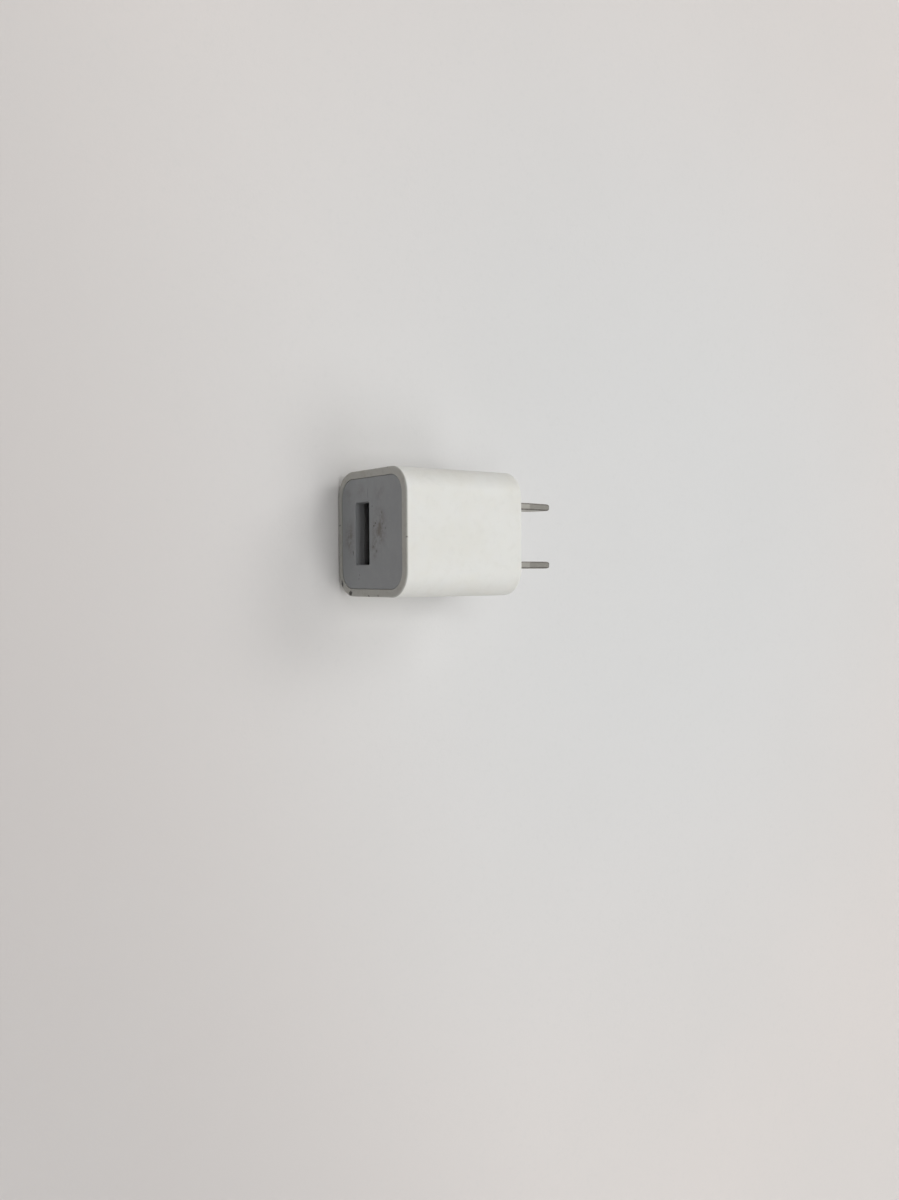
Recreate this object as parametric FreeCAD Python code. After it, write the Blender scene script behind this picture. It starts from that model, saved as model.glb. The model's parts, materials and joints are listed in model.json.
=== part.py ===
import FreeCAD, Part
import math
import os

# USB wall charger, a one-inch cube with two fixed blades. Millimetres.
# +Y runs along the blades into the wall, +X is to the right when facing the
# USB face, +Z is up. The origin is the centre of the outlet face.

# Outer case
BODY = 25.4
LENGTH = 28.8
CORNER_RADIUS = 5.4
WALL = 1.55
OUTLET_WALL = 1.8
OUTLET_EDGE_RADIUS = 1.0
RIM_EDGE_RADIUS = 0.35
CAVITY = BODY - 2 * WALL
CAVITY_RADIUS = CORNER_RADIUS - WALL
USB_FACE_Y = -LENGTH

# Face plate
PLATE_GAP = 0.04
PLATE_RECESS = 0.05
PLATE_BACK_Y = USB_FACE_Y + 2.15
PLATE_EDGE_RADIUS = 0.15
COLLAR_WALL = 0.8
COLLAR_DEPTH = 0.9

# USB port, type A
PORT_Z = -3.3
PORT_WIDTH = 12.6
PORT_HEIGHT = 5.2
PORT_RADIUS = 0.45
SHELL_WIDTH = 12.5
SHELL_HEIGHT = 5.12
SHELL_SHEET = 0.3
SHELL_RADIUS = 0.35
SHELL_FRONT_Y = PLATE_BACK_Y + 0.02
SHELL_LENGTH = 10.0
SHELL_BACK_Y = SHELL_FRONT_Y + SHELL_LENGTH
TONGUE_WIDTH = 11.1
TONGUE_HEIGHT = 1.84
TONGUE_RISE = 0.8
TONGUE_FRONT_Y = USB_FACE_Y + 3.5
TONGUE_NOSE_RADIUS = 0.3
INSULATOR_GAP = 0.02
INSULATOR_BLOCK = 2.0
CONTACT_WIDTH = 1.0
CONTACT_SHEET = 0.25
CONTACT_SWELL = 0.12
CONTACT_TAIL_Y = SHELL_BACK_Y - SHELL_SHEET - 0.9
POWER_CONTACT_X = 3.5
POWER_CONTACT_Y = TONGUE_FRONT_Y + 0.5
DATA_CONTACT_X = 1.0
DATA_CONTACT_Y = TONGUE_FRONT_Y + 1.5
FINGER_X = 3.1
FINGER_WIDTH = 1.8
FINGER_INSET = 0.35
FINGER_TIP_Y = SHELL_FRONT_Y + 2.0
FINGER_CREST_Y = SHELL_FRONT_Y + 3.0
FINGER_ROOT_Y = SHELL_FRONT_Y + 7.0
FINGER_SLIT = 0.3
LEG_WIDTH = 1.6
LEG_Y = (SHELL_FRONT_Y + 3.0, SHELL_BACK_Y - 2.0)
TAIL_WINDOW_WIDTH = SHELL_WIDTH - 2.0
TAIL_WINDOW_DEPTH = 1.5
SLOT_GAP = 0.1

# Blades
BLADE_SPACING = 12.7
BLADE_WIDTH = 6.35
BLADE_THICKNESS = 1.52
BLADE_LENGTH = 16.5
BLADE_TAPER_START = 9.9
BLADE_TIP_WIDTH = 4.35
BLADE_TIP_RADIUS = 0.35
BLADE_NOSE_LENGTH = 1.1
BLADE_HOLE_Y = 11.9
BLADE_HOLE_RADIUS = 1.6
BLADE_HOLE_RIM = 2.0
BLADE_BEVEL = 0.2
BLADE_EDGE_RADIUS = 0.3
BLADE_SLOT_GAP = 0.025
SHOULDER_WIDTH = 8.4
SHOULDER_DEPTH = 2.0
CARRIER_DEPTH = 3.5
CARRIER_WIDTH = 21.6
CARRIER_HEIGHT = 12.0
CARRIER_RADIUS = 1.5
CARRIER_BACK_Y = -OUTLET_WALL - CARRIER_DEPTH
STRIP_WIDTH = 3.6
STRIP_SHEET = 0.35
STRIP_OVERLAP = 0.45

# Circuit boards
BOARD_THICKNESS = 1.0
BOARD_FRONT_Y = -25.4
BOARD_BACK_Y = -6.1
PRIMARY_BOTTOM_Z = 8.6
PRIMARY_TOP_Z = PRIMARY_BOTTOM_Z + BOARD_THICKNESS
PRIMARY_WIDTH = 20.6
SECONDARY_TOP_Z = PORT_Z - SHELL_HEIGHT / 2 - SHELL_SHEET
SECONDARY_BOTTOM_Z = SECONDARY_TOP_Z - BOARD_THICKNESS
SECONDARY_WIDTH = 21.8
LEAD_STICK_OUT = 0.5
HOLE_GAP = 0.08
SHELF_DEPTH = 1.1
SHELF_THICKNESS = 0.8
SHEET_TOP_Z = -0.1
SHEET_THICKNESS = 0.25
SHEET_WIDTH = 20.6
SHEET_FLAP_Y = SHELL_BACK_Y + 0.1

# Transformer
CORE_X = 3.8
CORE_Y = -10.6
CORE_Z = (SECONDARY_TOP_Z + PRIMARY_BOTTOM_Z) / 2
CORE_WIDTH = 12.6
CORE_DEPTH = 5.0
CORE_HEIGHT = 12.6
CORE_YOKE = 2.5
CORE_LEG = 2.4
CORE_CENTRE_LEG = 3.6
BOBBIN_WALL = 0.55
BOBBIN_GAP = 0.03
BOBBIN_RAIL_RISE = 0.2
FLANGE = 0.6
FLANGE_OVERHANG = 0.8
PRIMARY_TURNS = 0.6
SECONDARY_TURNS = 0.4
TAPE = 0.1
BAND_HEIGHT = 3.6
BAND_SHEET = 0.15
BAND_GAP = 0.05
PIN_RADIUS = 0.3
PIN_PITCH = 3.5
PIN_ROW_Y = 3.6
PIN_RAIL_END = 0.9

# Capacitors, resistor, choke
BULK_RADIUS = 3.95
BULK_HEIGHT = 8.1
BULK_X = 4.1
BULK_Y = -20.2
BULK_LEAD_SPAN = 3.5
OUTPUT_RADIUS = 3.1
OUTPUT_HEIGHT = 11.0
OUTPUT_X = -6.2
OUTPUT_Y = -12.0
OUTPUT_LEAD_SPAN = 2.5
SIDE_CAP_RADIUS = 2.1
SIDE_CAP_LENGTH = 6.8
SIDE_CAP_X = -8.7
SIDE_CAP_Y = -24.5
SIDE_CAP_LEAD_SPAN = 2.0
SIDE_CAP_LEAD_REACH = 0.9
CAN_STANDOFF = 0.2
BUNG_DEPTH = 0.8
BUNG_RIM = 0.3
GROOVE_OFFSET = 0.15
GROOVE_RADIUS = 0.35
SLEEVE = 0.1
AXIAL_X = 9.55
AXIAL_Y = -20.2
AXIAL_Z = 5.6
AXIAL_RADIUS = 1.15
AXIAL_LENGTH = 6.4
AXIAL_CAP_LENGTH = 1.4
AXIAL_CAP_STEP = 0.15
SPOOL_END = 0.9
SPOOL_STEP = 0.1
AXIAL_LEAD_REACH = 0.9
LEAD_RADIUS = 0.25
DISC_RADIUS = 2.9
DISC_THICKNESS = 1.8
DISC_Y = -7.3
DISC_Z = 4.4
LINK_PIN_X = -9.65
LINK_PIN_Y = -14.2
LINK_PIN_PITCH = 2.0
LINK_PIN_COUNT = 4

# Chips: width, depth and height
CHIP_STANDOFF = 0.1
CHIP_CHAMFER = 0.15
CHIP_LEAD_SHEET = 0.2
CHIP_LEAD_REACH = 0.9
CHIP_FOOT = 0.4
RECTIFIER_SIZE = (5.0, 4.0, 1.4)
CONTROLLER_SIZE = (4.9, 3.9, 1.4)
TRANSISTOR_SIZE = (6.0, 3.6, 2.0)
COUPLER_SIZE = (4.2, 6.0, 3.2)
DIODE_SIZE = (6.8, 5.0, 2.2)
SMALL_RESISTOR_SIZE = (1.6, 0.8, 0.5)
SMALL_CAPACITOR_SIZE = (1.25, 2.0, 1.1)

X_AXIS = FreeCAD.Vector(1, 0, 0)
Y_AXIS = FreeCAD.Vector(0, 1, 0)
Z_AXIS = FreeCAD.Vector(0, 0, 1)
TOUCH = 1e-4


def box(x_range, y_range, z_range):
    """Block between two limits on each axis."""
    low = FreeCAD.Vector(min(x_range), min(y_range), min(z_range))
    size = [abs(pair[1] - pair[0]) for pair in (x_range, y_range, z_range)]
    return Part.makeBox(*size, low)


def around(centre, size):
    """The two limits of a length centred on a place."""
    return (centre - size / 2, centre + size / 2)


def rod(start, axis, length, radius):
    """Round bar from a start point along an axis."""
    return Part.makeCylinder(radius, length, FreeCAD.Vector(*start), axis)


def edges_along(shape, axis):
    """Straight edges parallel to an axis."""
    lines = [edge for edge in shape.Edges if isinstance(edge.Curve, Part.Line)]
    return [edge for edge in lines if edge.Curve.Direction.cross(axis).Length < TOUCH]


def edges_at_y(shape, y):
    """Edges that lie in the plane of one Y."""
    bounds = [(edge, edge.BoundBox) for edge in shape.Edges]
    return [edge for edge, box in bounds if box.YMin > y - TOUCH and box.YMax < y + TOUCH]


def rounded_bar(width, height, y_range, radius, centre_x=0.0, centre_z=0.0):
    """Bar along Y whose section is a rectangle with round corners."""
    bar = box(around(centre_x, width), y_range, around(centre_z, height))
    return bar.makeFillet(radius, edges_along(bar, Y_AXIS))


def joined(pieces):
    """One solid from pieces that meet."""
    return pieces[0].multiFuse(pieces[1:]).removeSplitter()


def minus(shape, tools):
    """The shape with every tool cut away."""
    for tool in tools:
        shape = shape.cut(tool)
    return shape


def group(pieces):
    """Separate solids that share one node."""
    return Part.makeCompound(pieces)


def lead_holes(leads):
    """Clearance hole round every upright run of the leads."""
    holes = []
    for face in [face for lead in leads for face in lead.Faces]:
        surface = face.Surface
        if isinstance(surface, Part.Cylinder) and surface.Axis.cross(Z_AXIS).Length < TOUCH:
            start = (surface.Center.x, surface.Center.y, face.BoundBox.ZMin)
            holes.append(rod(start, Z_AXIS, face.BoundBox.ZLength, surface.Radius + HOLE_GAP))
    return holes


def save(name, shape):
    """Write one node."""
    shape.exportStep("parts/" + name + ".step")


# ---------------------------------------------------------------- case


def blade_slots():
    """Two openings in the outlet wall, a hair wider than the blades."""
    slots = []
    for side in (-1, 1):
        x_range = around(side * BLADE_SPACING / 2, BLADE_THICKNESS + 2 * BLADE_SLOT_GAP)
        slots.append(box(x_range, (-OUTLET_WALL - 1, 1), around(0, BLADE_WIDTH + 2 * BLADE_SLOT_GAP)))
    return slots


def board_shelves():
    """Moulded shelves on the side walls that carry both boards."""
    shelves = []
    outer = CAVITY / 2 + WALL / 2
    levels = ((PRIMARY_BOTTOM_Z - SHELF_THICKNESS, PRIMARY_BOTTOM_Z),
              (SECONDARY_BOTTOM_Z - SHELF_THICKNESS, SECONDARY_BOTTOM_Z))
    for side in (-1, 1):
        for z_range in levels:
            inner = CAVITY / 2 - SHELF_DEPTH
            shelves.append(box((side * inner, side * outer), (BOARD_FRONT_Y, BOARD_BACK_Y), z_range))
    return shelves


def housing():
    """White shell, open at the USB end and closed at the outlet end."""
    outer = rounded_bar(BODY, BODY, (USB_FACE_Y, 0), CORNER_RADIUS)
    outer = outer.makeFillet(OUTLET_EDGE_RADIUS, edges_at_y(outer, 0))
    outer = outer.makeFillet(RIM_EDGE_RADIUS, edges_at_y(outer, USB_FACE_Y))
    cavity = rounded_bar(CAVITY, CAVITY, (USB_FACE_Y - 1, -OUTLET_WALL), CAVITY_RADIUS)
    shell = minus(outer, [cavity] + blade_slots())
    return joined([shell] + board_shelves())


def face_plate():
    """Gray plate inside the rim, with the port opening and a locating collar."""
    width = CAVITY - 2 * PLATE_GAP
    radius = CAVITY_RADIUS - PLATE_GAP
    front_y = USB_FACE_Y + PLATE_RECESS
    plate = rounded_bar(width, width, (front_y, PLATE_BACK_Y), radius)
    collar_range = (PLATE_BACK_Y, PLATE_BACK_Y + COLLAR_DEPTH)
    collar = rounded_bar(width, width, collar_range, radius)
    bore = width - 2 * COLLAR_WALL
    hollow = rounded_bar(bore, bore, collar_range, radius - COLLAR_WALL)
    port_range = (front_y - COLLAR_DEPTH, PLATE_BACK_Y + COLLAR_DEPTH)
    opening = rounded_bar(PORT_WIDTH, PORT_HEIGHT, port_range, PORT_RADIUS, 0, PORT_Z)
    body = joined([plate, collar.cut(hollow)]).cut(opening)
    return body.makeFillet(PLATE_EDGE_RADIUS, edges_at_y(body, front_y))


# ---------------------------------------------------------------- blades


def blade(side):
    """Fixed flat blade with a tapered tip, a coined hole and a shoulder inside."""
    centre_x = side * BLADE_SPACING / 2
    x_range = around(centre_x, BLADE_THICKNESS)
    half = BLADE_WIDTH / 2
    tip = BLADE_TIP_WIDTH / 2
    outline = ((CARRIER_BACK_Y, -half), (BLADE_TAPER_START, -half), (BLADE_LENGTH, -tip),
               (BLADE_LENGTH, tip), (BLADE_TAPER_START, half), (CARRIER_BACK_Y, half))
    points = [FreeCAD.Vector(x_range[0], y, z) for y, z in outline]
    flat = Part.Face(Part.makePolygon(points + points[:1])).extrude(X_AXIS * BLADE_THICKNESS)
    corners = [edge for edge in edges_along(flat, X_AXIS) if edge.BoundBox.YMin > BLADE_LENGTH - TOUCH]
    flat = flat.makeFillet(BLADE_TIP_RADIUS, corners)
    flat = flat.makeFillet(BLADE_EDGE_RADIUS, broad_face_edges(flat))
    piece = flat.common(rounded_nose(centre_x))
    middle = -OUTLET_WALL - CARRIER_DEPTH / 2
    shoulder = box(x_range, around(middle, SHOULDER_DEPTH), around(0, SHOULDER_WIDTH))
    return minus(joined([piece, shoulder]), blade_hole(centre_x))


def rounded_nose(centre_x):
    """Prism as thick as the blade, whose end is half an ellipse."""
    bottom = -BLADE_WIDTH / 2
    side = BLADE_THICKNESS / 2
    start = BLADE_LENGTH - BLADE_NOSE_LENGTH
    centre = FreeCAD.Vector(centre_x, start, bottom)
    right = FreeCAD.Vector(centre_x + side, start, bottom)
    left = FreeCAD.Vector(centre_x - side, start, bottom)
    ellipse = Part.Ellipse(FreeCAD.Vector(centre_x, BLADE_LENGTH, bottom), right, centre)
    end = Part.Arc(ellipse, -math.pi / 2, math.pi / 2).toShape()
    back = [FreeCAD.Vector(point.x, CARRIER_BACK_Y, bottom) for point in (left, right)]
    sides = [Part.makeLine(left, back[0]), Part.makeLine(back[0], back[1]), Part.makeLine(back[1], right)]
    outline = Part.Wire(Part.__sortEdges__([end] + sides))
    return Part.Face(outline).extrude(Z_AXIS * BLADE_WIDTH)


def broad_face_edges(shape):
    """Edges round both broad faces of the blade, apart from its root."""
    bounds = [(edge, edge.BoundBox) for edge in shape.Edges]
    return [edge for edge, box in bounds if box.XLength < TOUCH and box.YMax > CARRIER_BACK_Y + TOUCH]


def blade_hole(centre_x):
    """Through hole with a coined bevel on each side."""
    start = (centre_x - BLADE_THICKNESS, BLADE_HOLE_Y, 0)
    cuts = [rod(start, X_AXIS, 2 * BLADE_THICKNESS, BLADE_HOLE_RADIUS)]
    for way in (-1, 1):
        mouth = FreeCAD.Vector(centre_x + way * BLADE_THICKNESS / 2, BLADE_HOLE_Y, 0)
        cuts.append(Part.makeCone(BLADE_HOLE_RIM, BLADE_HOLE_RADIUS, BLADE_BEVEL, mouth, X_AXIS * -way))
    return cuts


def blade_carrier(blades):
    """Insulating block behind the outlet wall that locks both blades."""
    block = rounded_bar(CARRIER_WIDTH, CARRIER_HEIGHT, (CARRIER_BACK_Y, -OUTLET_WALL), CARRIER_RADIUS)
    return minus(block, blades)


def contact_strip(side):
    """Bent strip from the blade's tail to the top of the primary board."""
    x_range = around(side * BLADE_SPACING / 2, STRIP_WIDTH)
    front_y = CARRIER_BACK_Y - STRIP_SHEET
    top = PRIMARY_TOP_Z + STRIP_SHEET
    upright = box(x_range, (front_y, CARRIER_BACK_Y), (-BLADE_WIDTH / 2, top))
    tab = box(x_range, (BOARD_BACK_Y - STRIP_OVERLAP, CARRIER_BACK_Y), (PRIMARY_TOP_Z, top))
    strip = joined([upright, tab])
    bend = [edge for edge in edges_along(strip, X_AXIS)
            if edge.BoundBox.ZMin > top - TOUCH and edge.BoundBox.YMin > CARRIER_BACK_Y - TOUCH]
    return strip.makeFillet(STRIP_SHEET * 0.9, bend)


# ---------------------------------------------------------------- USB socket


def shell_openings():
    """Cut-outs of the four spring fingers and of the contact tails."""
    cuts = []
    wall = (SHELL_HEIGHT + SHELL_SHEET) / 2
    for level in (-1, 1):
        for side in (-1, 1):
            x_range = around(side * FINGER_X, FINGER_WIDTH + 2 * FINGER_SLIT)
            y_range = (FINGER_TIP_Y - FINGER_SLIT, FINGER_ROOT_Y)
            cuts.append(box(x_range, y_range, around(PORT_Z + level * wall, 3 * SHELL_SHEET)))
    y_range = (SHELL_BACK_Y - TAIL_WINDOW_DEPTH, SHELL_BACK_Y + SHELL_SHEET)
    cuts.append(box(around(0, TAIL_WINDOW_WIDTH), y_range, around(PORT_Z - wall, 3 * SHELL_SHEET)))
    return cuts


def spring_finger(side, level):
    """Sprung finger that leans into the port from its rear end."""
    inner = PORT_Z + level * SHELL_HEIGHT / 2
    outer = inner + level * SHELL_SHEET
    lean = level * FINGER_INSET
    low_x = side * FINGER_X - FINGER_WIDTH / 2
    outline = ((FINGER_ROOT_Y, inner), (FINGER_CREST_Y, inner - lean), (FINGER_TIP_Y, inner - lean / 2),
               (FINGER_TIP_Y, outer - lean / 2), (FINGER_CREST_Y, outer - lean), (FINGER_ROOT_Y, outer))
    points = [FreeCAD.Vector(low_x, y, z) for y, z in outline]
    return Part.Face(Part.makePolygon(points + points[:1])).extrude(X_AXIS * FINGER_WIDTH)


def shell_legs():
    """Four legs of the shell, down through the secondary board."""
    legs = []
    z_range = (SECONDARY_BOTTOM_Z - LEAD_STICK_OUT, PORT_Z)
    for side in (-1, 1):
        for y in LEG_Y:
            x = side * (SHELL_WIDTH + SHELL_SHEET) / 2
            legs.append(box(around(x, SHELL_SHEET), around(y, LEG_WIDTH), z_range))
    return legs


def usb_shell():
    """Folded steel shell with four spring fingers and four board legs."""
    outer = rounded_bar(SHELL_WIDTH + 2 * SHELL_SHEET, SHELL_HEIGHT + 2 * SHELL_SHEET,
                        (SHELL_FRONT_Y, SHELL_BACK_Y), SHELL_RADIUS + SHELL_SHEET, 0, PORT_Z)
    inner = rounded_bar(SHELL_WIDTH, SHELL_HEIGHT, (SHELL_FRONT_Y - 1, SHELL_BACK_Y - SHELL_SHEET),
                        SHELL_RADIUS, 0, PORT_Z)
    tube = minus(outer, [inner] + shell_openings())
    fingers = [spring_finger(side, level) for side in (-1, 1) for level in (-1, 1)]
    return joined([tube] + fingers + shell_legs())


def usb_contact(x, front_y):
    """Contact along the tongue's lower side, then down into the board."""
    low_z = PORT_Z + TONGUE_RISE - TONGUE_HEIGHT / 2 - CONTACT_SWELL
    high_z = low_z + CONTACT_SHEET
    tail_range = (CONTACT_TAIL_Y, CONTACT_TAIL_Y + CONTACT_SHEET)
    arm = box(around(x, CONTACT_WIDTH), (front_y, tail_range[1]), (low_z, high_z))
    tail = box(around(x, CONTACT_WIDTH / 2), tail_range, (SECONDARY_BOTTOM_Z - LEAD_STICK_OUT, high_z))
    return joined([arm, tail])


def usb_insulator(contacts):
    """Moulded tongue and rear block that hold the four contacts."""
    back_y = SHELL_BACK_Y - SHELL_SHEET - INSULATOR_GAP
    block_y = back_y - INSULATOR_BLOCK
    tongue_range = (TONGUE_FRONT_Y, back_y - INSULATOR_BLOCK / 2)
    tongue = box(around(0, TONGUE_WIDTH), tongue_range, around(PORT_Z + TONGUE_RISE, TONGUE_HEIGHT))
    nose = [edge for edge in edges_along(tongue, X_AXIS) if edge.BoundBox.YMax < TONGUE_FRONT_Y + TOUCH]
    tongue = tongue.makeFillet(TONGUE_NOSE_RADIUS, nose)
    block_size = (SHELL_WIDTH - 2 * INSULATOR_GAP, SHELL_HEIGHT - 2 * INSULATOR_GAP)
    block = rounded_bar(*block_size, (block_y, back_y), SHELL_RADIUS, 0, PORT_Z)
    return minus(joined([tongue, block]), contacts)


def socket_slots(contacts):
    """Slots in the secondary board for the contact tails and the shell's legs."""
    slots = []
    z_range = (SECONDARY_BOTTOM_Z - SLOT_GAP, SECONDARY_TOP_Z + SLOT_GAP)
    tail_range = (CONTACT_TAIL_Y - SLOT_GAP, CONTACT_TAIL_Y + CONTACT_SHEET + SLOT_GAP)
    for contact in contacts:
        x_range = around(contact.BoundBox.Center.x, CONTACT_WIDTH / 2 + 2 * SLOT_GAP)
        slots.append(box(x_range, tail_range, z_range))
    for leg in shell_legs():
        middle = leg.BoundBox.Center
        x_range = around(middle.x, SHELL_SHEET + 2 * SLOT_GAP)
        slots.append(box(x_range, around(middle.y, LEG_WIDTH + 2 * SLOT_GAP), z_range))
    return slots


# ---------------------------------------------------------------- boards


def board(width, bottom_z, holes):
    """Circuit board with a hole for every lead."""
    blank = box(around(0, width), (BOARD_FRONT_Y, BOARD_BACK_Y), (bottom_z, bottom_z + BOARD_THICKNESS))
    return minus(blank, holes)


def link_pins():
    """Row of pins that join the two boards."""
    low_z = SECONDARY_BOTTOM_Z - LEAD_STICK_OUT
    length = PRIMARY_TOP_Z + LEAD_STICK_OUT - low_z
    rows = [LINK_PIN_Y + LINK_PIN_PITCH * place for place in range(LINK_PIN_COUNT)]
    return [rod((LINK_PIN_X, y, low_z), Z_AXIS, length, LEAD_RADIUS) for y in rows]


def insulating_sheet():
    """Sheet between the primary parts and the USB socket, with a rear flap."""
    flap_range = (SHEET_FLAP_Y, SHEET_FLAP_Y + SHEET_THICKNESS)
    deck_z = (SHEET_TOP_Z - SHEET_THICKNESS, SHEET_TOP_Z)
    deck = box(around(0, SHEET_WIDTH), (BOARD_FRONT_Y, flap_range[1]), deck_z)
    flap = box(around(0, SHELL_WIDTH), flap_range, (SECONDARY_TOP_Z + SLOT_GAP, SHEET_TOP_Z))
    return joined([deck, flap])


# ---------------------------------------------------------------- transformer


def core_half(way):
    """One E-shaped ferrite half, above or below the middle plane."""
    y_range = around(CORE_Y, CORE_DEPTH)
    outer_z = CORE_Z + way * CORE_HEIGHT / 2
    yoke_z = outer_z - way * CORE_YOKE
    pieces = [box(around(CORE_X, CORE_WIDTH), y_range, (yoke_z, outer_z))]
    pieces.append(box(around(CORE_X, CORE_CENTRE_LEG), y_range, (CORE_Z, yoke_z)))
    for side in (-1, 1):
        leg_x = CORE_X + side * (CORE_WIDTH - CORE_LEG) / 2
        pieces.append(box(around(leg_x, CORE_LEG), y_range, (CORE_Z, yoke_z)))
    return joined(pieces)


def sleeve(thickness_in, thickness_out, height):
    """Rectangular tube round the centre leg, between two offsets from it."""
    shapes = []
    for offset in (thickness_out, thickness_in):
        x_range = around(CORE_X, CORE_CENTRE_LEG + 2 * offset)
        y_range = around(CORE_Y, CORE_DEPTH + 2 * offset)
        layer = box(x_range, y_range, around(CORE_Z, height))
        if offset > BOBBIN_WALL:
            layer = layer.makeFillet(offset - BOBBIN_WALL, edges_along(layer, Z_AXIS))
        shapes.append(layer)
    return shapes[0].cut(shapes[1])


def transformer_pins():
    """Pins of the bobbin: three in each row, two rows up and two rows down."""
    pins = []
    root = CORE_HEIGHT / 2 - CORE_YOKE + FLANGE
    length = PRIMARY_TOP_Z + LEAD_STICK_OUT - CORE_Z - root
    for way in (-1, 1):
        for row in (-1, 1):
            for column in (-1, 0, 1):
                start = (CORE_X + column * PIN_PITCH, CORE_Y + row * PIN_ROW_Y, CORE_Z + way * root)
                pins.append(rod(start, Z_AXIS * way, length, PIN_RADIUS))
    return pins


def bobbin(pins):
    """Winding former with two flanges and four pin rails."""
    half_window = CORE_HEIGHT / 2 - CORE_YOKE - BOBBIN_GAP
    tube_size = (CORE_CENTRE_LEG + 2 * BOBBIN_WALL, CORE_DEPTH + 2 * BOBBIN_WALL)
    parts = [box(around(CORE_X, tube_size[0]), around(CORE_Y, tube_size[1]), around(CORE_Z, 2 * half_window))]
    flange_x = around(CORE_X, CORE_WIDTH - 2 * CORE_LEG - 2 * BOBBIN_GAP)
    reach = PIN_ROW_Y + FLANGE_OVERHANG
    for way in (-1, 1):
        face = CORE_Z + way * half_window
        inner = face - way * FLANGE
        parts.append(box(flange_x, around(CORE_Y, 2 * reach), (inner, face)))
        rail_z = (inner, CORE_Z + way * (CORE_HEIGHT / 2 + BOBBIN_RAIL_RISE))
        for row in (-1, 1):
            rail_y = (CORE_Y + row * (CORE_DEPTH / 2 + BOBBIN_GAP), CORE_Y + row * reach)
            parts.append(box(around(CORE_X, 2 * (PIN_PITCH + PIN_RAIL_END)), rail_y, rail_z))
    bore = box(around(CORE_X, CORE_CENTRE_LEG + 2 * BOBBIN_GAP), around(CORE_Y, CORE_DEPTH + 2 * BOBBIN_GAP),
               around(CORE_Z, CORE_HEIGHT))
    return minus(joined(parts), [bore] + pins)


def shield_band():
    """Copper band round the outside of the transformer."""
    wound = BOBBIN_WALL + PRIMARY_TURNS + SECONDARY_TURNS + 2 * TAPE
    size = (CORE_WIDTH + 2 * BAND_GAP, CORE_DEPTH + 2 * (wound + BAND_GAP))
    z_range = around(CORE_Z, BAND_HEIGHT)
    inner = box(around(CORE_X, size[0]), around(CORE_Y, size[1]), z_range)
    outer = box(around(CORE_X, size[0] + 2 * BAND_SHEET), around(CORE_Y, size[1] + 2 * BAND_SHEET), z_range)
    return outer.cut(inner)


# ---------------------------------------------------------------- capacitors


def can_capacitor(start, axis, length, radius, lead_span, lead_length):
    """Electrolytic capacitor: can, sleeve, rubber bung and two leads along an axis.

    The start is the middle of the closed end, and the leads leave the other end.
    """
    origin = FreeCAD.Vector(*start)
    can_radius = radius - SLEEVE
    bung_start = origin + axis * (length - BUNG_DEPTH)
    bung = Part.makeCylinder(can_radius - BUNG_RIM, BUNG_DEPTH, bung_start, axis)
    groove_centre = bung_start - axis * BUNG_DEPTH
    groove = Part.makeTorus(can_radius + GROOVE_OFFSET, GROOVE_RADIUS, groove_centre, axis)
    can = minus(rod(start, axis, length, can_radius), [bung, groove])
    tube = rod(start, axis, length - 3 * BUNG_DEPTH, radius).cut(rod(start, axis, length, can_radius))
    across = X_AXIS if abs(axis.y) > 0.5 else Y_AXIS
    leads = []
    for side in (-1, 1):
        foot = bung_start + axis * BUNG_DEPTH + across * (side * lead_span / 2)
        leads.append(Part.makeCylinder(LEAD_RADIUS, lead_length, foot, axis))
    return can, tube, bung, leads


def bulk_capacitor(side):
    """Mains capacitor that hangs from the primary board."""
    low_z = PRIMARY_BOTTOM_Z - CAN_STANDOFF - BULK_HEIGHT
    lead_length = BOARD_THICKNESS + CAN_STANDOFF + LEAD_STICK_OUT
    start = (side * BULK_X, BULK_Y, low_z)
    return can_capacitor(start, Z_AXIS, BULK_HEIGHT, BULK_RADIUS, BULK_LEAD_SPAN, lead_length)


def output_capacitor():
    """Upright output capacitor on the secondary board."""
    start = (OUTPUT_X, OUTPUT_Y, SECONDARY_TOP_Z + CAN_STANDOFF + OUTPUT_HEIGHT)
    lead_length = BOARD_THICKNESS + CAN_STANDOFF + LEAD_STICK_OUT
    return can_capacitor(start, Z_AXIS * -1, OUTPUT_HEIGHT, OUTPUT_RADIUS, OUTPUT_LEAD_SPAN, lead_length)


def side_capacitor():
    """Second output capacitor, which lies beside the USB socket."""
    axis_z = SECONDARY_TOP_Z + SIDE_CAP_RADIUS + CAN_STANDOFF / 2
    can, tube, bung, stubs = can_capacitor((SIDE_CAP_X, SIDE_CAP_Y, axis_z), Y_AXIS, SIDE_CAP_LENGTH,
                                           SIDE_CAP_RADIUS, SIDE_CAP_LEAD_SPAN, SIDE_CAP_LEAD_REACH)
    depth = axis_z - SECONDARY_BOTTOM_Z + LEAD_STICK_OUT
    corner_y = SIDE_CAP_Y + SIDE_CAP_LENGTH + SIDE_CAP_LEAD_REACH - LEAD_RADIUS
    leads = []
    for stub in stubs:
        corner = (stub.BoundBox.Center.x, corner_y, axis_z)
        leads.append(joined([stub, rod(corner, Z_AXIS * -1, depth, LEAD_RADIUS)]))
    return can, tube, bung, leads


# ---------------------------------------------------------------- axial parts


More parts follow.
